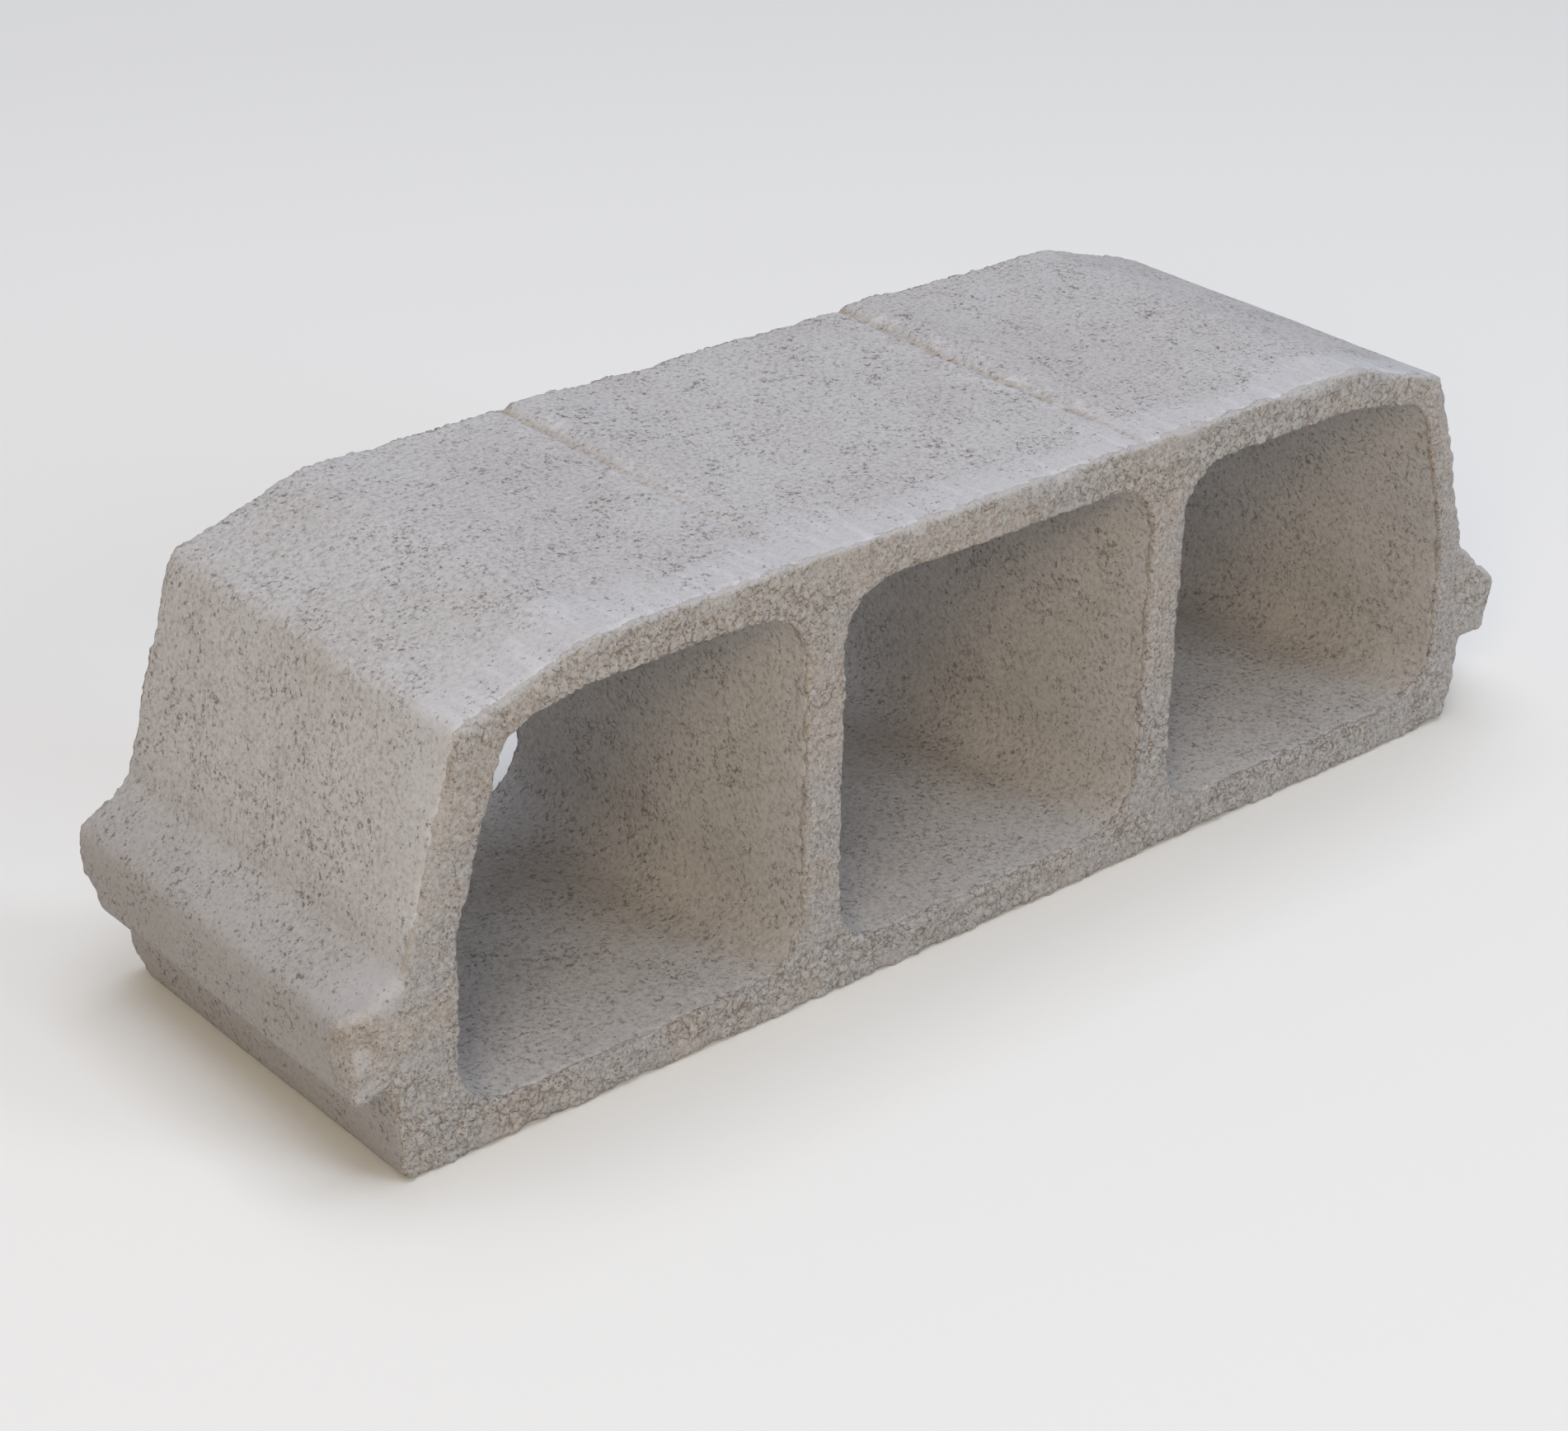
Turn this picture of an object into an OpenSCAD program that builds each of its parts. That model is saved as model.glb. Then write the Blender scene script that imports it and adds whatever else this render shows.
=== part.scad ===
// Hollow infill block for a beam-and-block floor: one vibro-pressed casting of lightweight concrete.
// It hangs between two parallel joists on the lips at its ends, and the floor's topping is cast over it.
// X runs from joist to joist, Y along the joists and +Z up. The origin is the middle of the soffit.

/* [Size] */
// Clear gap between the two joist flanges that the block drops into
joist_gap = 600; // [520:1:700]
// Clearance left between the block and each flange
gap_clearance = 1; // [0.5:0.5:4]
// Width of the block along the joists
depth = 195; // [150:1:260]
// Height from the soffit to the crown
height = 200; // [170:1:240]

/* [Bearing lips] */
// How far each lip reaches over its joist flange
lip_reach = 20.5; // [15:0.5:30]
// Height of the lip's underside above the soffit
lip_level = 41; // [30:1:50]
// Height of the lip's upright outer face
lip_face = 33; // [20:1:40]
// Rise of the sloped shoulder from the lip to the end wall
shoulder_rise = 15; // [8:1:20]
// Outward lean of the leg below the lip
leg_lean = 3.5; // [0:0.5:5]

/* [End walls and crown] */
// How far the end wall's foot is set in from the leg's foot
wall_set = 2.5; // [0:0.5:12]
// Inward lean of the end wall over its height
wall_lean = 27; // [18:1:32]
// Run of the sloped haunch between the end wall and the crown
haunch_run = 61.5; // [45:0.5:75]
// Drop of the haunch from the crown to the end wall
haunch_drop = 19; // [10:1:25]
// Thickness of the slab over the cells
roof_t = 19.5; // [14:0.5:26]

/* [Cells] */
// Thickness of the slab under the cells
floor_t = 19; // [14:0.5:26]
// Thickness of the two webs between the cells
web_t = 20; // [14:0.5:26]
// Distance from the block's middle to the middle of each web
web_offset = 95; // [80:1:105]
// Thickness of the left end wall at its foot
left_wall_t = 23; // [14:0.5:26]
// Thickness of the right end wall at its foot
right_wall_t = 14.5; // [14:0.5:26]
// Height above the soffit at which the end walls' inner faces bend inward
bend_level = 95; // [75:1:110]
// Inward lean of those faces below the bend, for each millimetre of height
lower_slope = 0.03; // [0:0.01:0.08]
// Inward lean of those faces above the bend, for each millimetre of height
upper_slope = 0.28; // [0.2:0.01:0.32]
// Fall of the end cells' ceilings under the haunch, for each millimetre of run
ceiling_slope = 0.2; // [0.12:0.01:0.3]
// Radius of the cells' corners
cell_r = 24; // [10:1:28]

/* [Crown grooves] */
// Depth of the two grooves that the mould leaves across the crown
groove_d = 1.5; // [0.5:0.5:3]
// Place of the groove over the left web, from the block's middle
groove_left = -108; // [-150:1:-60]
// Place of the groove over the right web, from the block's middle
groove_right = 78; // [60:1:150]

/* [Hidden] */

concrete = [0.66, 0.64, 0.60];
// Flats that each round corner is made of
arc_steps = 8;

base_x = joist_gap / 2 - gap_clearance;
lip_x = base_x + lip_reach;
lip_top = lip_level + lip_face;
shoulder_z = lip_top + shoulder_rise;
wall_foot = base_x - wall_set;
wall_head = wall_foot - wall_lean;
haunch_z = height - haunch_drop;
haunch_x = wall_head - haunch_run;
ceiling_z = height - roof_t;
inner_x = web_offset - web_t / 2;
outer_x = web_offset + web_t / 2;

base_r = 5;
leg_root_r = 2;
lip_under_r = 4;
lip_top_r = 7;
shoulder_r = 9;
wall_head_r = 9;
crown_r = 45;
bend_r = 60;

// Right-hand half of the outline, from the middle of the soffit round to the middle of the crown:
// each row is a corner and the radius that rounds it
half_outline = [
    [[base_x, 0], base_r],
    [[base_x + leg_lean, lip_level], leg_root_r],
    [[lip_x, lip_level], lip_under_r],
    [[lip_x, lip_top], lip_top_r],
    [[wall_foot, shoulder_z], shoulder_r],
    [[wall_head, haunch_z], wall_head_r],
    [[haunch_x, height], crown_r],
];

middle_cell = [
    [[-inner_x, floor_t], cell_r],
    [[inner_x, floor_t], cell_r],
    [[inner_x, ceiling_z], cell_r],
    [[-inner_x, ceiling_z], cell_r],
];

// Right-hand end cell, beside an end wall of thickness wall_t. Its head is where the sloped ceiling
// meets the leaning wall.
function end_cell(wall_t) =
    let (
        foot_x = wall_foot - wall_t,
        bend_x = foot_x - lower_slope * (bend_level - floor_t),
        head_x = (bend_x - upper_slope * (ceiling_z + ceiling_slope * haunch_x - bend_level))
            / (1 - upper_slope * ceiling_slope),
        head_z = ceiling_z - ceiling_slope * (head_x - haunch_x)
    )
    [
        [[outer_x, floor_t], cell_r],
        [[foot_x, floor_t], cell_r],
        [[bend_x, bend_level], bend_r],
        [[head_x, head_z], cell_r],
        [[haunch_x, ceiling_z], crown_r],
        [[outer_x, ceiling_z], cell_r],
    ];

function unit(v) = v / norm(v);
function heading(v) = atan2(v[1], v[0]);
function short_turn(a) = (a + 540) % 360 - 180;
function flipped(corners) =
    [for (i = [len(corners) - 1 : -1 : 0]) [[-corners[i][0][0], corners[i][0][1]], corners[i][1]]];

// Points along the arc of radius r that replaces the sharp corner p, inner or outer
function corner_arc(before, p, after, r) =
    let (
        u = unit(before - p),
        w = unit(after - p),
        half_angle = acos(u * w) / 2,
        centre = p + unit(u + w) * r / sin(half_angle),
        tangent = r / tan(half_angle),
        start = heading(p + u * tangent - centre),
        turn = short_turn(heading(p + w * tangent - centre) - start)
    )
    [for (k = [0 : arc_steps])
        let (angle = start + turn * k / arc_steps)
            centre + r * [cos(angle), sin(angle)]];

function arcs(corners) =
    let (count = len(corners))
    [for (i = [0 : count - 1])
        each corner_arc(corners[(i + count - 1) % count][0], corners[i][0],
            corners[(i + 1) % count][0], corners[i][1])];

module groove(x) {
    translate([x, height]) rotate(45) square(groove_d * sqrt(2), center = true);
}

module section() {
    difference() {
        polygon(arcs(concat(half_outline, flipped(half_outline))));
        polygon(arcs(middle_cell));
        polygon(arcs(end_cell(right_wall_t)));
        polygon(arcs(flipped(end_cell(left_wall_t))));
        groove(groove_left);
        groove(groove_right);
    }
}

module infill_block() {
    color(concrete)
        translate([0, depth / 2, 0]) rotate([90, 0, 0]) linear_extrude(depth) section();
}

infill_block();
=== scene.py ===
"""Looks of a hollow concrete infill block.

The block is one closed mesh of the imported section. Its grains, worn edges and grooves are real relief.
"""

import math

import bpy
import numpy as np
from mathutils import Matrix, Vector
from mathutils.geometry import delaunay_2d_cdt
from mathutils.kdtree import KDTree


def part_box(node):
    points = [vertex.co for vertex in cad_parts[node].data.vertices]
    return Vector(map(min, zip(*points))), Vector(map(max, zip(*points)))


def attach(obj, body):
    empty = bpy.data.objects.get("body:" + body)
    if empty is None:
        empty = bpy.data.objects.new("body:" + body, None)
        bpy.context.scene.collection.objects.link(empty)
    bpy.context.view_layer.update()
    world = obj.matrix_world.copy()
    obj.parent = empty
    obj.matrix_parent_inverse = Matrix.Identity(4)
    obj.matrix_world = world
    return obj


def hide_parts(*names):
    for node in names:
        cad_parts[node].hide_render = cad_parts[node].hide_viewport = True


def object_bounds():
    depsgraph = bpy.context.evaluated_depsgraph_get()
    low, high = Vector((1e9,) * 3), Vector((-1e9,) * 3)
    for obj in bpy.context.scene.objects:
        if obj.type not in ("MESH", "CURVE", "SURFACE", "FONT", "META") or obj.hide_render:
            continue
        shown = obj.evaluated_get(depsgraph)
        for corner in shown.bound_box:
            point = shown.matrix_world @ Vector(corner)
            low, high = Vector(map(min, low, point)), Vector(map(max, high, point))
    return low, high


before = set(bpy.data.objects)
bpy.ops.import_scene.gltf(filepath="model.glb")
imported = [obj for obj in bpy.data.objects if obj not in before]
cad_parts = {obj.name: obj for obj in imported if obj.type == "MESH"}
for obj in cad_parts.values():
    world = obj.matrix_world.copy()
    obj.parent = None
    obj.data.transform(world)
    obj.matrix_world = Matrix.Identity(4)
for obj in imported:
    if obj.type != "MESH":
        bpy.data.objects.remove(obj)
cad_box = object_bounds()

MM = 0.001
NODE = "infill_block"
END = cad_box[1][0]  # the lips' tips lie this far either side of the middle
FRONT = cad_box[0][1]
BACK = cad_box[1][1]

# ---------------------------------------------------------------- camera

VIEW_AZIMUTH = math.radians(-40.79)
VIEW_ELEVATION = math.radians(27.70)
VIEW_ROLL = math.radians(0.97)
VIEW_DISTANCE = 1.4428
VIEW_TARGET = Vector((-0.0299, 0.0034, 0.0677))
LENS = 77.07


def make_camera():
    data = bpy.data.cameras.new("camera")
    data.lens = LENS
    data.sensor_width = 36.0
    camera = bpy.data.objects.new("camera", data)
    bpy.context.collection.objects.link(camera)
    flat = math.cos(VIEW_ELEVATION)
    back = Vector((math.sin(VIEW_AZIMUTH) * flat, -math.cos(VIEW_AZIMUTH) * flat, math.sin(VIEW_ELEVATION)))
    camera.location = VIEW_TARGET + back * VIEW_DISTANCE
    aim = (-back).to_track_quat("-Z", "Y").to_matrix()
    camera.rotation_euler = (aim @ Matrix.Rotation(VIEW_ROLL, 3, "Z")).to_euler()
    bpy.context.scene.camera = camera


make_camera()

# ---------------------------------------------------------------- noise


def hashed(i, j, k, seed):
    """A repeatable number from 0 to 1 for each whole-number place."""
    h = (i.astype(np.int64) * 73856093) ^ (j.astype(np.int64) * 19349663) ^ (k.astype(np.int64) * 83492791)
    h = (h ^ (seed * 2654435761)) & 0xFFFFFFFF
    h = ((h ^ (h >> 15)) * 0x2C1B3C6D) & 0xFFFFFFFF
    h = ((h ^ (h >> 12)) * 0x297A2D39) & 0xFFFFFFFF
    h = (h ^ (h >> 15)) & 0xFFFFFFFF
    return h / 4294967295.0


def value_noise(points, size, seed):
    """Smooth noise from -1 to 1 whose features are about size across. size may differ along each axis."""
    q = points / np.asarray(size, float)
    base = np.floor(q).astype(np.int64)
    t = q - base
    t = t * t * t * (t * (6 * t - 15) + 10)
    total = np.zeros(len(points))
    for a in (0, 1):
        for b in (0, 1):
            for c in (0, 1):
                weight = np.ones(len(points))
                for axis, corner in enumerate((a, b, c)):
                    weight *= t[:, axis] if corner else 1 - t[:, axis]
                total += weight * hashed(base[:, 0] + a, base[:, 1] + b, base[:, 2] + c, seed)
    return total * 2 - 1


def layered_noise(points, size, seed, octaves=3):
    total, scale, share = np.zeros(len(points)), 1.0, 0.0
    for octave in range(octaves):
        total += value_noise(points, np.asarray(size, float) * scale, seed + octave) * scale
        share += scale
        scale *= 0.5
    return total / share


def smooth_step(value, low, high):
    t = np.clip((value - low) / (high - low), 0, 1)
    return t * t * (3 - 2 * t)


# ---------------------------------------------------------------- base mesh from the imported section

FINE = 1.25 * MM  # spacing of points on the cut faces and along their edges
FINE_ROWS = 6  # rows of that spacing beside each cut face
COARSE_ROW = 3.2 * MM  # spacing of rows on the moulded faces
GROOVE_SINK = 2.5 * MM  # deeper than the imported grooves, which the relief draws again
GROOVE_SPAN = 150 * MM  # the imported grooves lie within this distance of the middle
JITTER = 0.5  # how far, in spacings, a point on a cut face may be off its grid
CLEAR_OF_EDGE = 0.75  # in spacings, between the points inside a cut face and its edge


def section_loops(node):
    """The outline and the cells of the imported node's front face, as closed loops of (x, z).

    The outline comes first, and the material lies on the left of every loop.
    """
    mesh = node.data
    mesh.calc_loop_triangles()
    co = np.array([v.co for v in mesh.vertices], float)
    front = co[:, 1].min()
    places, index = np.unique(np.round(co[:, [0, 2]], 6), axis=0, return_inverse=True)
    index = index.reshape(-1)
    sides = set()
    for tri in mesh.loop_triangles:
        corners = list(tri.vertices)
        if all(co[c, 1] < front + MM / 10 for c in corners):
            a, b, c = (int(index[v]) for v in corners)
            sides |= {(a, b), (b, c), (c, a)}
    after = {a: b for a, b in sides if (b, a) not in sides}
    loops = []
    while after:
        start, here = next(iter(after.items()))
        loop = [start]
        del after[start]
        while here != start:
            loop.append(here)
            here = after.pop(here)
        loops.append(places[loop])
    loops.sort(key=lambda p: (-np.ptp(p[:, 0]), p[:, 0].min()))
    return loops


def without_grooves(loop, top):
    """The outline with the two notches in its crown left out."""
    depth = top - loop[:, 1]
    notch = (depth > MM / 10) & (depth < GROOVE_SINK) & (np.abs(loop[:, 0]) < GROOVE_SPAN)
    return loop[~notch]


def resampled(loop, step):
    """The loop with an even number of evenly spaced points."""
    closed = np.vstack([loop, loop[:1]])
    along = np.r_[0, np.cumsum(np.hypot(*np.diff(closed, axis=0).T))]
    count = 2 * int(round(along[-1] / step / 2))
    at = np.arange(count) * along[-1] / count
    return np.c_[np.interp(at, along, closed[:, 0]), np.interp(at, along, closed[:, 1])]


def inside(points, loops):
    """True for the points that lie in the material: an odd number of crossings."""
    odd = np.zeros(len(points), bool)
    for loop in loops:
        ends = np.roll(loop, -1, axis=0)
        for (xa, za), (xb, zb) in zip(loop, ends):
            if za == zb:
                continue
            level = (points[:, 1] > za) != (points[:, 1] > zb)
            rows = np.nonzero(level)[0]
            at = xa + (points[rows, 1] - za) * (xb - xa) / (zb - za)
            odd[rows] ^= points[rows, 0] < at
    return odd


def nearest(targets, places):
    """For each place, which target is nearest and how far off it is. Both lie in a plane or in space."""
    spare = 3 - targets.shape[1]
    tree = KDTree(len(targets))
    for n, target in enumerate(np.pad(targets, ((0, 0), (0, spare)))):
        tree.insert(target, n)
    tree.balance()
    found = [tree.find(place) for place in np.pad(places, ((0, 0), (0, spare)))]
    return np.array([f[1] for f in found]), np.array([f[2] for f in found])


def cap_points(loops, step):
    """Jittered points on a triangular grid inside the material, clear of the loops."""
    lo, hi = loops[0].min(0), loops[0].max(0)
    rise = step * math.sqrt(3) / 2
    rows = np.arange(int((hi[1] - lo[1]) / rise) + 1)
    cols = np.arange(int((hi[0] - lo[0]) / step) + 1)
    col, row = np.meshgrid(cols, rows)
    grid = np.c_[(lo[0] + (col + 0.5 * (row % 2)) * step).ravel(), (lo[1] + row * rise).ravel()]
    flat = np.zeros(len(grid), np.int64)
    i, j = col.ravel(), row.ravel()
    grid[:, 0] += (hashed(i, j, flat, 11) - 0.5) * step * JITTER
    grid[:, 1] += (hashed(i, j, flat, 12) - 0.5) * step * JITTER
    coarse = [resampled(loop, 4 * step) for loop in loops]
    grid = grid[inside(grid, coarse)]
    return grid[nearest(np.vstack(loops), grid)[1] > CLEAR_OF_EDGE * step]


def regions(tris, walls):
    """Groups of triangles that meet across sides other than the walls."""
    across = {}
    for t, (a, b, c) in enumerate(tris.tolist()):
        for side in ((a, b), (b, c), (c, a)):
            key = (min(side), max(side))
            if key not in walls:
                across.setdefault(key, []).append(t)
    beside = [[] for _ in range(len(tris))]
    for pair in across.values():
        if len(pair) == 2:
            beside[pair[0]].append(pair[1])
            beside[pair[1]].append(pair[0])
    seen = np.zeros(len(tris), bool)
    for first in range(len(tris)):
        if seen[first]:
            continue
        seen[first] = True
        group = [first]
        for t in group:
            for other in beside[t]:
                if not seen[other]:
                    seen[other] = True
                    group.append(other)
        yield np.array(group)


def cap_triangles(loops, inner):
    """Triangles over the cut face, as indices into all the loops' points followed by the inner ones."""
    points = np.vstack(loops + [inner])
    edges, start = [], 0
    for loop in loops:
        n = len(loop)
        edges += [(start + k, start + (k + 1) % n) for k in range(n)]
        start += n
    found = delaunay_2d_cdt([Vector(p) for p in points.tolist()], edges, [], 0, 1e-7)
    origin = np.array([o[0] for o in found[3]])
    tris = origin[np.array(found[2])]
    a, b, c = (points[tris[:, k]] for k in range(3))
    turn = (b[:, 0] - a[:, 0]) * (c[:, 1] - a[:, 1]) - (b[:, 1] - a[:, 1]) * (c[:, 0] - a[:, 0])
    tris[turn < 0] = tris[turn < 0][:, ::-1]
    area = np.abs(turn) / 2
    kept = []
    for group in regions(tris, {(min(e), max(e)) for e in edges}):
        largest = group[np.argmax(area[group])]
        solid = inside(points[tris[largest]].mean(0)[None], loops)[0]
        if solid and area[group].sum() > FINE * FINE:
            kept.append(group)
    return tris[np.concatenate(kept)]


def base_block():
    """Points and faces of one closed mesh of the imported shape, and which points belong to a cell.

    A point on a cut face belongs to a cell where the nearest edge is a cell's.
    """
    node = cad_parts[NODE]
    lo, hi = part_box(NODE)
    loops = section_loops(node)
    loops[0] = without_grooves(loops[0], hi.z)
    loops = [resampled(loop, FINE) for loop in loops]
    inner = cap_points(loops, FINE)
    tris = cap_triangles(loops, inner)
    edge = np.vstack(loops)
    used = np.arange(len(edge) + len(inner)) < len(edge)
    used[tris] = True
    inner = inner[used[len(edge):]]
    tris = (np.cumsum(used) - 1)[tris]
    cap = np.vstack([edge, inner])
    on_cell = np.arange(len(edge)) >= len(loops[0])
    cap_by_cell = np.r_[on_cell, on_cell[nearest(edge, inner)[0]]]
    by_cell = [cap_by_cell, cap_by_cell]
    points = [np.c_[cap[:, 0], np.full(len(cap), y), cap[:, 1]] for y in (lo.y, hi.y)]
    count = 2 * len(cap)
    faces = tris.tolist() + (tris[:, ::-1] + len(cap)).tolist()
    first_coarse = lo.y + (FINE_ROWS + 1) * FINE
    last_coarse = hi.y - (FINE_ROWS + 1) * FINE
    middle_rows = int(round((last_coarse - first_coarse) / COARSE_ROW))
    coarse_y = np.linspace(first_coarse, last_coarse, middle_rows + 1)
    start = 0
    for loop in loops:
        n = len(loop)
        ring = np.arange(start, start + n)
        start += n

        def row(y, xz):
            nonlocal count
            points.append(np.c_[xz[:, 0], np.full(len(xz), y), xz[:, 1]])
            by_cell.append(np.full(len(xz), loop is not loops[0]))
            made = np.arange(count, count + len(xz))
            count += len(xz)
            return made

        def band(near, far):
            faces.extend(np.c_[near, far, np.roll(far, -1), np.roll(near, -1)].tolist())

        near = ring
        for k in range(1, FINE_ROWS + 1):
            far = row(lo.y + k * FINE, loop)
            band(near, far)
            near = far
        fine_front = near
        near = ring + len(cap)
        for k in range(1, FINE_ROWS + 1):
            far = row(hi.y - k * FINE, loop)
            band(far, near)
            near = far
        fine_back = near
        rows = [row(y, loop[::2]) for y in coarse_y]
        for near, far in zip(rows, rows[1:]):
            band(near, far)
        for fine, wide, flip in ((fine_front, rows[0], False), (fine_back, rows[-1], True)):
            a0, a1, a2 = fine[::2], fine[1::2], np.roll(fine[::2], -1)
            b0, b2 = wide, np.roll(wide, -1)
            for three in ((a0, b0, a1), (a1, b2, a2), (a1, b0, b2)):
                t = np.c_[three]
                faces.extend((t[:, ::-1] if flip else t).tolist())
    return np.vstack(points), faces, np.concatenate(by_cell)


def new_piece(name, points, faces):
    mesh = bpy.data.meshes.new(name)
    mesh.from_pydata(points.tolist(), [], faces)
    mesh.update()
    piece = bpy.data.objects.new(name, mesh)
    bpy.context.collection.objects.link(piece)
    return piece


# ---------------------------------------------------------------- node trees


class Nodes:
    """Short ways to add and join the nodes of a material or of a geometry tree."""

    def __init__(self, tree):
        self.tree = tree
        self.tree.nodes.clear()

    def put(self, node, inputs):
        for key, value in dict(inputs).items():
            if isinstance(value, bpy.types.NodeSocket):
                self.tree.links.new(value, node.inputs[key])
            else:
                node.inputs[key].default_value = value
        return node

    def add(self, kind, inputs=(), **settings):
        node = self.tree.nodes.new("ShaderNode" + kind)
        for name, value in settings.items():
            setattr(node, name, value)
        return self.put(node, inputs)

    def math(self, operation, a, b=0.0, c=0.0):
        return self.add("Math", {0: a, 1: b, 2: c}, operation=operation).outputs[0]

    def times(self, *values):
        product = values[0]
        for value in values[1:]:
            product = self.math("MULTIPLY", product, value)
        return product

    def flipped(self, value):
        return self.math("SUBTRACT", 1.0, value)

    def step(self, value, low, high, to_low=0.0, to_high=1.0):
        inputs = {0: value, 1: low, 2: high, 3: to_low, 4: to_high}
        return self.add("MapRange", inputs, interpolation_type="SMOOTHSTEP").outputs[0]

    def mix(self, share, a, b):
        return self.add("Mix", {0: share, 6: a, 7: b}, data_type="RGBA").outputs[2]

    def blend(self, share, a, b):
        return self.add("Mix", {0: share, 2: a, 3: b}, data_type="FLOAT").outputs[0]

    def noise(self, where, size, detail=2.0, roughness=0.5, output="Fac"):
        inputs = {"Vector": where, "Scale": 1 / size, "Detail": detail, "Roughness": roughness}
        return self.add("TexNoise", inputs).outputs[output]

    def cells(self, where, size, feature, output):
        inputs = {"Vector": where, "Scale": 1 / size, "Randomness": 1.0}
        return self.add("TexVoronoi", inputs, feature=feature).outputs[output]

    def attribute(self, name, output="Fac"):
        return self.add("Attribute", attribute_name=name).outputs[output]


# ---------------------------------------------------------------- grains, for the relief and the material

LARGE_GRAIN = 4.8 * MM
SMALL_GRAIN = 2.5 * MM
WARP_SIZE = 4.0 * MM  # size of the bends that take the straightness out of the gaps between grains
WARP = 2.2 * MM


def grains(n, rest):
    """For large and for small grains: how far off the nearest gap is, in grains, and a number per grain."""
    bend = n.noise(rest, WARP_SIZE, 1.0, output="Color")
    centred = n.add("VectorMath", {0: bend, 1: (0.5, 0.5, 0.5)}, operation="SUBTRACT").outputs[0]
    inputs = {0: centred, 1: (WARP, WARP, WARP), 2: rest}
    where = n.add("VectorMath", inputs, operation="MULTIPLY_ADD").outputs[0]
    found = {}
    for name, size in (("large", LARGE_GRAIN), ("small", SMALL_GRAIN)):
        found[name + "_gap"] = n.cells(where, size, "DISTANCE_TO_EDGE", "Distance")
        found[name + "_pick"] = n.cells(where, size, "F1", "Color")
    return found


def grains_at_points(piece):
    """The same grains, read at each point of the piece where it now is."""
    tree = bpy.data.node_groups.new("grains", "GeometryNodeTree")
    n = Nodes(tree)
    tree.interface.new_socket("Geometry", in_out="INPUT", socket_type="NodeSocketGeometry")
    tree.interface.new_socket("Geometry", in_out="OUTPUT", socket_type="NodeSocketGeometry")
    rest = tree.nodes.new("GeometryNodeInputPosition").outputs[0]
    geometry = tree.nodes.new("NodeGroupInput").outputs[0]
    names = []
    for name, value in grains(n, rest).items():
        keep = tree.nodes.new("GeometryNodeStoreNamedAttribute")
        n.put(keep, {"Geometry": geometry, "Name": name, "Value": value})
        geometry = keep.outputs[0]
        names.append(name)
    n.put(tree.nodes.new("NodeGroupOutput"), {0: geometry})
    modifier = piece.modifiers.new("grains", "NODES")
    modifier.node_group = tree
    mesh = piece.evaluated_get(bpy.context.evaluated_depsgraph_get()).data
    found = {}
    for name in names:
        values = np.empty(len(mesh.vertices))
        mesh.attributes[name].data.foreach_get("value", values)
        found[name] = values
    piece.modifiers.remove(modifier)
    bpy.data.node_groups.remove(tree)
    return found


# ---------------------------------------------------------------- relief

EDGE_ROUND = 2.0 * MM  # how far from a cut face's edge its rounding starts
OUTER_WEAR = 2.0 * MM  # most that the cut faces' outer edges are worn down
CELL_WEAR = 0.5 * MM  # the same for their edges along the cells
WORN_BAND = 5.0 * MM  # how far in from an edge the wear reaches
WIDE_SWELL = 0.45 * MM  # how far the faces swell and sink over 55 mm
NARROW_SWELL = 0.18 * MM  # the same over 16 mm
DOME = 0.30  # how far from a gap, in grains, a grain reaches its full height
LARGE_RISE = 1.0 * MM  # how far a large grain stands above its gaps
SMALL_RISE = 0.3 * MM  # the same for a small grain
GRAIN_SPREAD = 0.9 * MM  # spread of the large grains' heights
RIPPLE = 1.2 * MM  # unevenness where no large grain stands out
RELIEF_MOST = 1.4 * MM  # most that the grains move a point either way
SKIN_RELIEF = 0.08  # share of the grains' relief that shows under the moulded skin
SPOTS = (
    # centre, reach, how far and which way the surface is moved, and what is left there:
    # 1 for bare grains, 0 for paste smeared over the edge, None for what was there before
    ((-END, FRONT, 0.070), 0.016, 0.0042, (0.45, 0.85, -0.15), 1),
    ((-END + 0.0035, FRONT, 0.057), 0.020, 0.0016, (0.50, 0.80, 0.10), 1),
    ((-END + 0.0170, FRONT, 0.084), 0.010, 0.0004, (0.20, 0.80, -0.40), 0),
    ((-END + 0.0575, FRONT, 0.157), 0.022, 0.0018, (0.90, 0.00, -0.40), None),
    ((END, FRONT, 0.085), 0.019, 0.0060, (-0.50, 0.20, -0.85), 1),
    ((END, FRONT, 0.061), 0.012, 0.0040, (1.00, -0.10, 0.00), 1),
    ((-END, BACK, 0.041), 0.016, 0.0060, (0.70, -0.50, 0.50), 1),
    ((END, BACK, 0.074), 0.018, 0.0070, (-0.70, -0.60, -0.40), 1),
    ((-END + 0.0205, BACK, 0.000), 0.012, 0.0040, (0.60, -0.60, 0.50), 1),
)
SOFTENING = 12  # rounds of smoothing where paste was smeared over an edge
LUMPS = (
    # place, reach, and whether large grains stand out there (1) or not (0)
    ((-END + 0.0195, FRONT, 0.042), 0.013, 1),
    ((END - 0.0115, FRONT, 0.062), 0.016, 1),
    ((-END + 0.0035, FRONT, 0.066), 0.020, 0),
)
GROOVES = (
    # place along the block, share of the full depth at the front, and how much more at the back
    (-0.108, 0.25, 0.6),
    (0.078, 0.8, 0.2),
)
GROOVE_WIDTH = 3.2 * MM
GROOVE_DEPTH = 1.1 * MM
NO_GROOVE = 99.0  # mm, for places that no groove comes near
CROWN_FILM = 0.15  # share of the smeared paste on the crown away from the front edge
FILM_WIDTH = 48 * MM  # how far the paste was smeared over the moulded faces from the front edge


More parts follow.
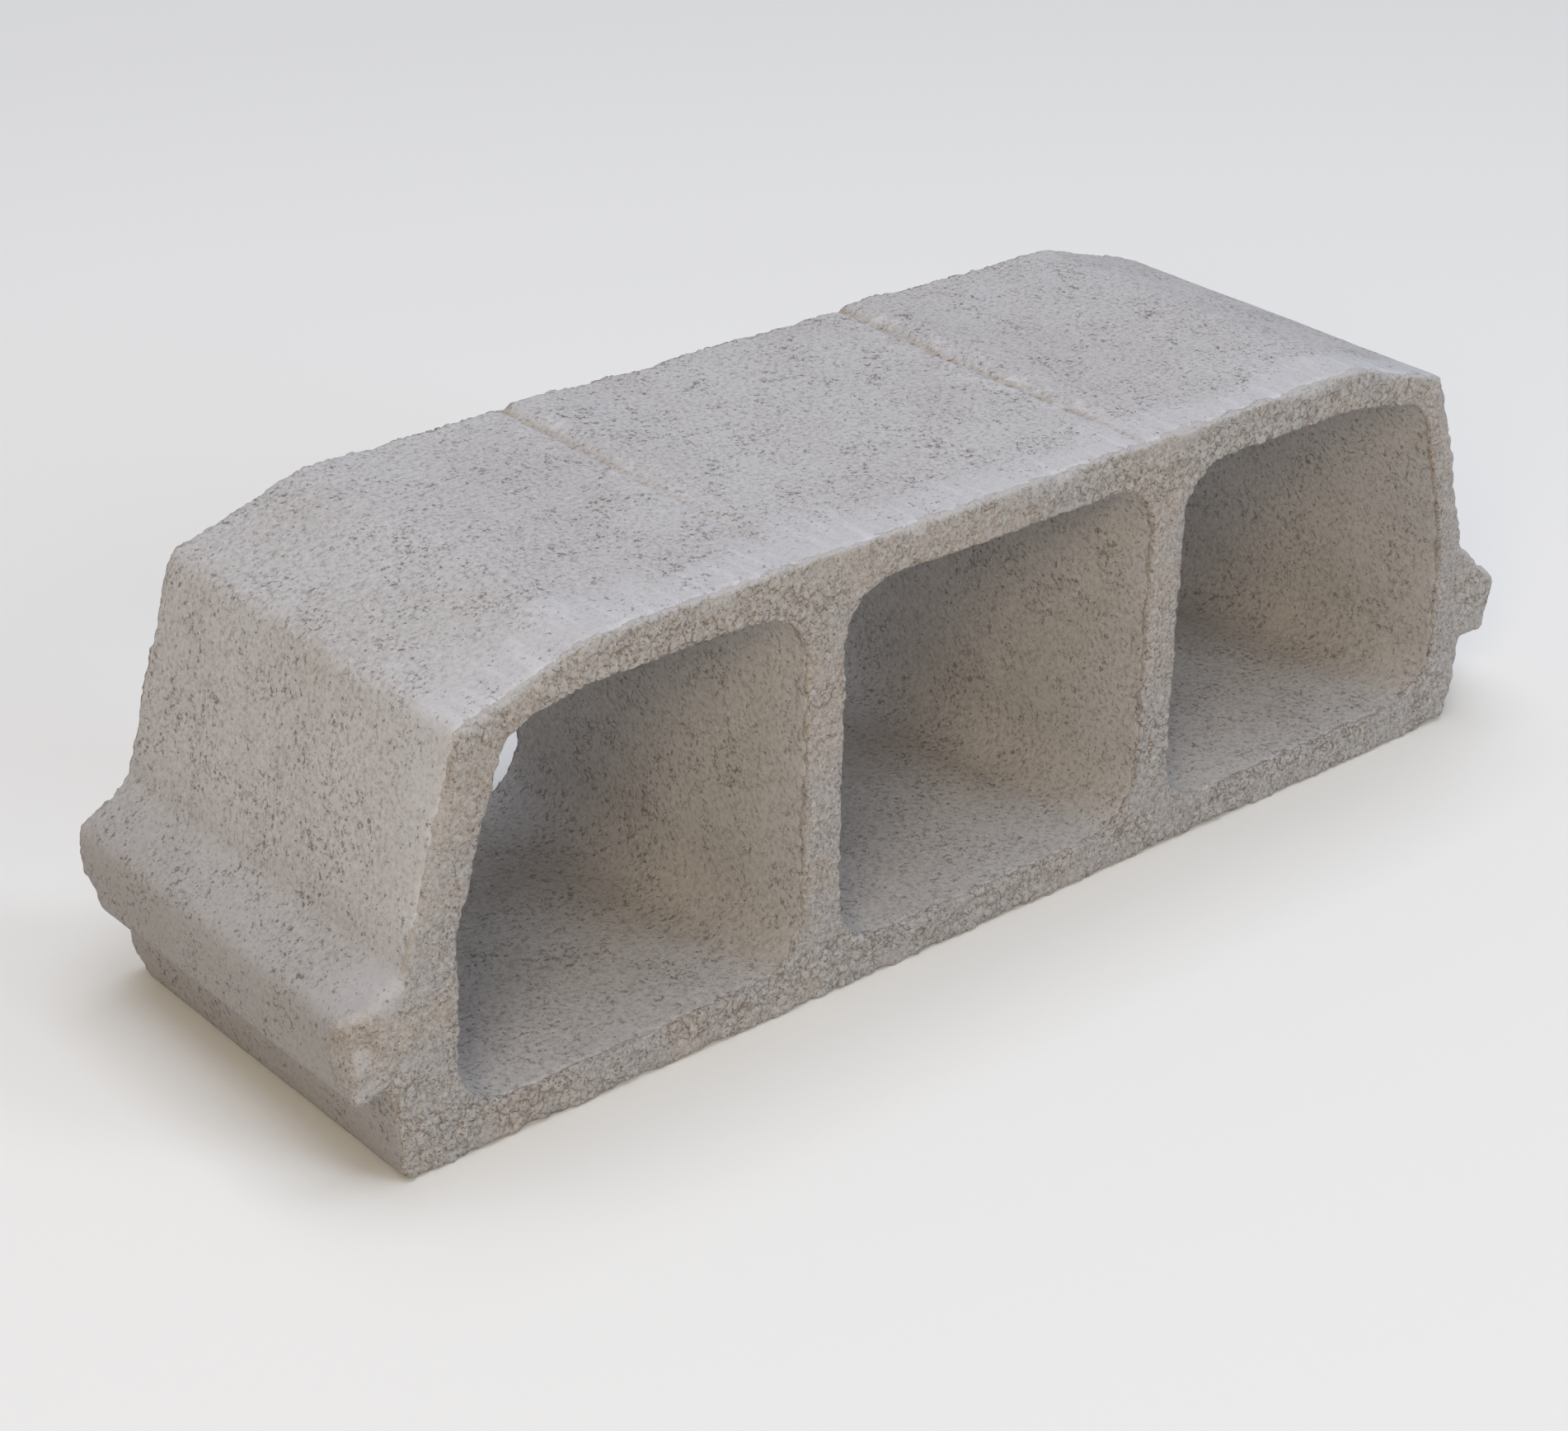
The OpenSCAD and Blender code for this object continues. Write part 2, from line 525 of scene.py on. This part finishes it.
class Surface:
    """The piece's points with what the relief needs to know about each."""

    def __init__(self, piece, by_cell):
        self.piece = piece
        self.mesh = piece.data
        self.by_cell = by_cell
        self.lo, self.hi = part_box(NODE)
        n = len(self.mesh.vertices)
        flat = np.empty(3 * n)
        self.mesh.vertices.foreach_get("co", flat)
        self.at = flat.reshape(n, 3)
        self.rest = self.at.copy()
        ends = np.empty(2 * len(self.mesh.edges), np.int32)
        self.mesh.edges.foreach_get("vertices", ends)
        self.ends = ends.reshape(-1, 2)
        self.degree = np.bincount(self.ends.ravel(), minlength=n).astype(float)
        self.face_gap = np.minimum(self.at[:, 1] - self.lo.y, self.hi.y - self.at[:, 1])
        self.on_cap = self.face_gap < MM / 100
        self.edge_gap = self.face_gap.copy()

    def normals(self):
        flat = np.empty(3 * len(self.at))
        self.mesh.vertex_normals.foreach_get("vector", flat)
        return flat.reshape(-1, 3)

    def commit(self):
        self.mesh.vertices.foreach_set("co", self.at.ravel())
        self.mesh.update()

    def averaged(self, values):
        """Each point's values averaged over its neighbours."""
        total = np.zeros_like(values)
        np.add.at(total, self.ends[:, 0], values[self.ends[:, 1]])
        np.add.at(total, self.ends[:, 1], values[self.ends[:, 0]])
        degree = self.degree if values.ndim == 1 else self.degree[:, None]
        return total / degree

    def measure_caps(self):
        """On a cut face, the distance to the nearest edge of the face."""
        self.edge_gap[self.on_cap] = nearest(self.at[self.mesh_rim()], self.at[self.on_cap])[1]

    def mesh_rim(self):
        """The points where a cut face meets a moulded one."""
        leaves = self.on_cap[self.ends[:, 0]] != self.on_cap[self.ends[:, 1]]
        both = self.ends[leaves]
        return np.unique(np.where(self.on_cap[both[:, 0]], both[:, 0], both[:, 1]))

    def store(self, name, values, kind="FLOAT"):
        layer = self.mesh.attributes.new(name, kind, "POINT")
        field = "vector" if kind == "FLOAT_VECTOR" else "value"
        layer.data.foreach_set(field, values.astype(np.float32).ravel())


def dome(gap):
    """0 in the gap beside a grain, 1 on top of it."""
    return 1 - (1 - np.clip(gap / DOME, 0, 1)) ** 2


def round_edges(surface):
    """Softens the sharp edge between the cut faces and the moulded ones."""
    near = 1 - smooth_step(surface.edge_gap, 0.4 * EDGE_ROUND, EDGE_ROUND)
    for _ in range(6):
        surface.at += (surface.averaged(surface.at) - surface.at) * near[:, None] * 0.6
    surface.commit()


def wear(surface):
    """Makes the faces uneven, wears the cut faces' edges and breaks some corners.

    Gives how bare each point is, from 0 for moulded skin to 1 for cut grains.
    """
    round_edges(surface)
    place, normals = surface.rest, surface.normals()
    skin_gap = np.where(surface.on_cap, 0, surface.face_gap)
    slow = layered_noise(place, 13 * MM, 301)
    ragged = layered_noise(place, 5 * MM, 304, 2)
    bare_width = (2.0 + 2.2 * slow + 2.0 * ragged) * MM
    cut = np.maximum(surface.on_cap, 1 - smooth_step(skin_gap, 0.6 * bare_width, bare_width + 0.8 * MM))
    lift = WIDE_SWELL * layered_noise(place, 55 * MM, 311) + NARROW_SWELL * layered_noise(place, 16 * MM, 321)
    here_and_there = smooth_step(layered_noise(place, 17 * MM, 331), -0.1, 0.7)
    worn = (1 - smooth_step(surface.edge_gap, 0, WORN_BAND)) * here_and_there
    lift -= np.where(surface.by_cell, CELL_WEAR, OUTER_WEAR) * worn
    surface.at += normals * lift[:, None]
    cut = np.maximum(cut, smooth_step(worn, 0.25, 0.6))
    for centre, reach, most, way, bare in SPOTS:
        away = how_far(place, centre, reach)
        heading = np.array(way) / np.linalg.norm(way)
        surface.at += heading * (most * (1 - smooth_step(away, 0.2, 1.0)))[:, None]
        if bare is not None:
            cut += (bare - cut) * (1 - smooth_step(away, 0.72, 0.92))
        if bare == 0:
            soften(surface, 1 - smooth_step(away, 0.7, 1.0))
    surface.commit()
    return cut


def soften(surface, share):
    """Smooths the few points that have a share above 0."""
    both = surface.ends[(share[surface.ends] > 0).all(axis=1)]
    rows, local = np.unique(both, return_inverse=True)
    local = local.reshape(-1, 2)
    at = surface.at[rows]
    degree = np.bincount(local.ravel())[:, None]
    for _ in range(SOFTENING):
        total = np.zeros_like(at)
        np.add.at(total, local[:, 0], at[local[:, 1]])
        np.add.at(total, local[:, 1], at[local[:, 0]])
        at += (total / degree - at) * share[rows][:, None] * 0.6
    surface.at[rows] = at


def how_far(places, centre, reach):
    """Ragged distance from a centre, 1 at its reach."""
    away = np.sqrt(((places - np.array(centre)) ** 2).sum(1)) / reach
    return away + 0.2 * layered_noise(places, 8 * MM, 501)


def shape(surface):
    """Moves every point to its place on the worn, granular casting, and stores what the material reads."""
    cut = wear(surface)
    surface.rest = surface.at.copy()
    rest, normals = surface.rest, surface.normals()
    found = grains_at_points(surface.piece)
    slab = 1 - smooth_step(np.minimum(rest[:, 2], surface.hi.z - rest[:, 2]), 18 * MM, 36 * MM)
    lumps = smooth_step(layered_noise(rest, 20 * MM, 341) + 0.5 * slab, 0.0, 0.6)
    for where, reach, level in LUMPS:
        lumps += (level - lumps) * (1 - smooth_step(how_far(rest, where, reach), 0.5, 1.0))
    height = LARGE_RISE * (dome(found["large_gap"]) - 0.6) + GRAIN_SPREAD * (found["large_pick"] - 0.5)
    height = lumps * height + (1 - 0.6 * lumps) * RIPPLE * layered_noise(rest, 4.5 * MM, 361, 2)
    height += SMALL_RISE * (dome(found["small_gap"]) - 0.6)
    height = np.clip(height, -RELIEF_MOST, RELIEF_MOST)
    lift = height * (cut + SKIN_RELIEF * (1 - cut))
    surface.at += normals * lift[:, None]
    surface.store("rest", rest, "FLOAT_VECTOR")
    surface.store("cut", cut)
    surface.store("lumps", lumps)
    surface.store("inner", np.where(surface.by_cell, 1.0, 0.0))
    surface.store("film", smeared_film(surface, normals))
    surface.at[:, 2] += crown_marks(surface)
    surface.at[:, 2] = np.maximum(surface.at[:, 2], 0)
    surface.commit()


def smeared_film(surface, normals):
    """How much paste was smeared over the outer faces: most by the front edge and where they look up."""
    reach = FILM_WIDTH * (0.75 + 0.6 * layered_noise(surface.rest, 45 * MM, 601))
    near = 1 - smooth_step(surface.rest[:, 1] - surface.lo.y, 0.35 * reach, reach)
    upward = smooth_step(normals[:, 2], -0.2, 0.7)
    return np.where(surface.by_cell, 0.0, upward * (CROWN_FILM + (1 - CROWN_FILM) * near))


def crown_marks(surface):
    """The two grooves across the crown, and the low ridge of mix on the right of each."""
    rest = surface.rest
    on_crown = smooth_step(rest[:, 2], surface.hi.z - 6 * MM, surface.hi.z - 3 * MM)
    toward_back = smooth_step(rest[:, 1], -0.08, 0.08)
    move = np.zeros(len(rest))
    groove_off = np.full(len(rest), NO_GROOVE)
    share = np.zeros(len(rest))
    for n, (x, at_front, more_behind) in enumerate(GROOVES):
        wander = 1.2 * MM * layered_noise(rest * [0, 1, 0], 25 * MM, 401 + n)
        off = rest[:, 0] - x - wander
        strength = at_front + more_behind * toward_back
        strength = strength * (0.8 + 0.5 * layered_noise(rest * [0, 1, 0], 14 * MM, 411 + n))
        line = np.exp(-((off / GROOVE_WIDTH) ** 2))
        ridge = smooth_step(off, 0, 5 * MM) * (1 - smooth_step(off, 12 * MM, 42 * MM))
        move += ridge * (0.3 + 1.5 * toward_back) * MM - line * strength * GROOVE_DEPTH
        closer = np.abs(off) < np.abs(groove_off) * MM
        groove_off = np.where(closer, off / MM, groove_off)
        share = np.where(closer, strength, share)
    surface.store("groove_off", groove_off)
    surface.store("groove", share * on_crown)
    return move * on_crown


# ---------------------------------------------------------------- material


def colour(red, green, blue):
    """A shader colour from the 0 to 255 values that a screen shows. It holds for all but near-blacks."""
    return tuple(((c / 255 + 0.055) / 1.055) ** 2.4 for c in (red, green, blue)) + (1.0,)


def skin_look(n, rest, found, film, inner):
    """Colour and height in mm of the moulded skin: sandy grey paste with specks, pits and short breaks. The
    pits' dark brown is painted shade, and the outer faces get painted shade towards the floor.
    """
    patches = n.step(n.noise(rest, 60 * MM, 3), 0.35, 0.65)
    base = n.mix(patches, colour(182, 178, 174), colour(188, 185, 182))
    sand = n.noise(rest, 2.2 * MM, 3, 0.65)
    dull = n.flipped(n.step(sand, 0.32, 0.50))
    base = n.mix(n.times(dull, 0.7), base, colour(147, 141, 135))
    base = n.mix(n.times(n.step(sand, 0.5, 0.72), 0.5), base, colour(210, 208, 205))
    base = n.mix(n.times(film, 0.65), base, colour(197, 195, 195))
    stretched = n.add("VectorMath", {0: rest, 1: (1.0, 0.12, 1.0)}, operation="MULTIPLY").outputs[0]
    streaks = n.step(n.noise(stretched, 5 * MM, 3, 0.6), 0.46, 0.68)
    base = n.mix(n.times(film, streaks, 0.45), base, colour(210, 209, 209))
    base = n.mix(n.times(inner, 0.1), base, colour(186, 174, 158))
    # Painted shade: the outer faces, not the cells', are painted darker from 120 mm down to the floor, where
    # less light reaches them.
    painted_foot_shade = n.step(n.add("SeparateXYZ", {0: rest}).outputs[2], 50 * MM, 120 * MM, 0.72, 0.0)
    base = n.mix(n.times(painted_foot_shade, n.flipped(inner)), base, colour(150, 145, 141))
    crowd = n.step(n.noise(rest, 20 * MM, 3), 0.34, 0.66, 0.655, 0.595)
    crowd = n.math("MULTIPLY_ADD", film, 0.035, crowd)
    specks = n.step(n.math("SUBTRACT", n.noise(rest, 2.8 * MM, 4, 0.75), crowd), -0.045, 0.055)
    pits = n.step(n.math("SUBTRACT", n.noise(rest, 2.4 * MM, 3, 0.65), crowd), 0.02, 0.07)
    thin = n.flipped(n.step(found["small_gap"], 0.0, 0.15))
    short = n.step(n.math("SUBTRACT", n.noise(rest, 1.6 * MM, 1, 0.5), crowd), -0.07, 0.05)
    marks = n.math("MAXIMUM", n.times(thin, short, 0.35), specks)
    strength = n.math("MULTIPLY_ADD", inner, -0.2, 0.8)
    base = n.mix(n.times(marks, strength), base, colour(110, 100, 92))
    # Painted shade: the pits' dark brown stands for the shade inside them.
    base = n.mix(n.times(pits, 0.6), base, colour(112, 94, 78))
    height = n.math("SUBTRACT", n.times(sand, 0.22), n.times(n.math("MAXIMUM", marks, pits), 0.25))
    return base, height


def cut_look(n, rest, found, lumps, cut, film):
    """Colour and height in mm of the cut faces: sand, pores and, in patches, large outlined grains. The dark
    brown in the pores and in the gaps that outline the grains is painted shade.

    They are browner towards the block's top left, and paler where paste was smeared over their edges.
    """
    place = n.add("SeparateXYZ", {0: rest}).outputs
    leftward = n.step(place[0], -0.3, 0.3, 0.12, -0.12)
    upward = n.step(place[2], 0.0, 0.2, -0.12, 0.12)
    browner = n.math("ADD", leftward, upward)
    warm = n.step(n.math("ADD", n.noise(rest, 40 * MM, 2), browner), 0.35, 0.65)
    base = n.mix(warm, colour(163, 160, 157), colour(167, 158, 149))
    base = n.mix(n.times(found["large_pick"], lumps, 0.6), base, colour(183, 179, 173))
    base = n.mix(n.times(found["small_pick"], 0.3), base, colour(152, 142, 131))
    sand = n.noise(rest, 1.7 * MM, 2, 0.7)
    dull = n.flipped(n.step(sand, 0.30, 0.50))
    base = n.mix(n.times(dull, 0.65), base, colour(125, 114, 102))
    base = n.mix(n.times(n.step(sand, 0.5, 0.72), 0.55), base, colour(193, 187, 180))
    boundary = n.times(cut, n.flipped(cut), 4.0)
    crowd = n.step(n.noise(rest, 9 * MM, 3), 0.34, 0.66, 0.69, 0.60)
    crowd = n.math("MULTIPLY_ADD", boundary, -0.04, crowd)
    pores = n.step(n.math("SUBTRACT", n.noise(rest, 1.5 * MM, 2, 0.65), crowd), -0.05, 0.05)
    wide = n.flipped(n.step(found["large_gap"], 0.0, 0.09))
    thin = n.flipped(n.step(found["small_gap"], 0.0, 0.13))
    broken = n.step(n.noise(rest, 2.2 * MM, 2, 0.6), 0.42, 0.58)
    gaps = n.math("MAXIMUM", n.times(wide, n.step(lumps, 0.1, 0.7)), n.times(thin, 0.4))
    # Painted shade: the gaps between grains and the pores are darkened as the shade in those hollows; the
    # same mask also sinks them.
    dark = n.math("MAXIMUM", n.times(gaps, broken, 0.95), pores)
    tan = n.times(boundary, n.step(n.noise(rest, 12 * MM, 2), 0.45, 0.6), 0.45)
    base = n.mix(tan, base, colour(170, 152, 128))
    base = n.mix(n.times(film, 0.8), base, colour(184, 181, 178))
    dark = n.times(dark, n.math("MULTIPLY_ADD", film, -0.6, 1.0))
    base = n.mix(n.times(dark, 0.75), base, colour(108, 91, 75))
    rise = n.math("ADD", n.times(n.step(found["small_gap"], 0.0, 0.3), lumps, 0.2), n.times(sand, 0.6))
    return base, n.math("SUBTRACT", rise, n.times(dark, 0.3))


def groove_look(n, rest, base):
    """The grooves' loose sandy grains and pits, dark with painted shade, and the pale smears and crumbs
    beside them.
    """
    share = n.attribute("groove")
    ragged = n.math("MULTIPLY_ADD", n.noise(rest, 3 * MM, 3, 0.65), 5.0, -2.5)
    off = n.math("ADD", n.attribute("groove_off"), ragged)
    away = n.math("ABSOLUTE", off)
    broken = n.step(n.noise(rest, 6 * MM, 2, 0.6), 0.36, 0.56, 0.25, 1.0)
    line = n.times(n.flipped(n.step(away, 1.0, 2.8)), share, broken)
    pits = n.times(n.step(n.noise(rest, 2.0 * MM, 2, 0.6), 0.52, 0.62), 0.8)
    crumbs = n.step(n.noise(rest, 7 * MM, 3, 0.6), 0.54, 0.62)
    smears = n.times(n.flipped(n.step(away, 4.0, 20.0)), crumbs)
    base = n.mix(n.times(smears, share, 0.6), base, colour(210, 207, 204))
    base = n.mix(n.times(line, 0.9), base, colour(172, 160, 146))
    # Painted shade: the dark brown of the pits in the grooves stands for the shade inside them.
    return n.mix(n.times(line, pits), base, colour(112, 97, 82))


def concrete_material():
    material = bpy.data.materials.new("concrete")
    material.use_nodes = True
    n = Nodes(material.node_tree)
    rest = n.attribute("rest", "Vector")
    ragged = n.math("MULTIPLY_ADD", n.noise(rest, 2.4 * MM, 3, 0.6), 1.2, -0.6)
    cut = n.step(n.math("ADD", n.attribute("cut"), ragged), 0.3, 0.7)
    found = grains(n, rest)
    film = n.attribute("film")
    skin, skin_height = skin_look(n, rest, found, film, n.attribute("inner"))
    skin = groove_look(n, rest, skin)
    bare, bare_height = cut_look(n, rest, found, n.attribute("lumps"), cut, film)
    base = n.mix(cut, skin, bare)
    height = n.blend(cut, skin_height, bare_height)
    bump = n.add("Bump", {"Strength": 1.0, "Distance": MM, "Height": height}).outputs[0]
    rough = n.step(height, -0.3, 0.3, 0.98, 0.88)
    inputs = {"Base Color": base, "Roughness": rough, "Normal": bump, "Specular IOR Level": 0.25}
    n.add("OutputMaterial", {"Surface": n.add("BsdfPrincipled", inputs).outputs[0]})
    return material


# ---------------------------------------------------------------- the block

points, faces, by_cell = base_block()
block = new_piece("concrete_block", points, faces)
surface = Surface(block, by_cell)
surface.measure_caps()
shape(surface)
block.data.shade_smooth()
block.data.materials.append(concrete_material())
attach(block, "root")
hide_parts(NODE)

# ---------------------------------------------------------------- floor and light

FLOOR_HALF = 4.0
LIGHTS = (
    # name, place, side of its square, watts, tint
    ("overhead", (0.0, 0.0, 4.75), 4.0, 144, (0.81, 0.865, 1.0)),
    ("key", (-3.75, -3.0, 2.75), 1.75, 94, (1.0, 0.825, 0.59)),
    ("fill", (2.25, -4.5, 2.0), 2.0, 91, (0.74, 0.85, 1.0)),
)
STUDIO_TINT = (0.93, 0.93, 1.0, 1.0)
STUDIO_STRENGTH = 0.28


def make_floor():
    mesh = bpy.data.meshes.new("floor")
    corners = [(x * FLOOR_HALF, y * FLOOR_HALF, 0) for x, y in ((-1, -1), (1, -1), (1, 1), (-1, 1))]
    mesh.from_pydata(corners, [], [(0, 1, 2, 3)])
    floor = bpy.data.objects.new("floor", mesh)
    bpy.context.collection.objects.link(floor)
    material = bpy.data.materials.new("floor")
    material.use_nodes = True
    n = Nodes(material.node_tree)
    shader = n.add("BsdfPrincipled", {"Base Color": colour(241, 239, 232), "Roughness": 0.9})
    n.add("OutputMaterial", {"Surface": shader.outputs[0]})
    mesh.materials.append(material)


def make_light():
    for name, place, side, watts, tint in LIGHTS:
        data = bpy.data.lights.new(name, "AREA")
        data.shape = "SQUARE"
        data.size = side
        data.energy = watts
        data.color = tint
        light = bpy.data.objects.new(name, data)
        light.location = place
        light.rotation_euler = (-Vector(place)).to_track_quat("-Z", "Y").to_euler()
        bpy.context.collection.objects.link(light)
    world = bpy.data.worlds.new("studio")
    world.use_nodes = True
    background = world.node_tree.nodes["Background"]
    background.inputs["Color"].default_value = STUDIO_TINT
    background.inputs["Strength"].default_value = STUDIO_STRENGTH
    bpy.context.scene.world = world
    bpy.context.scene.view_settings.view_transform = "Standard"


make_floor()
make_light()
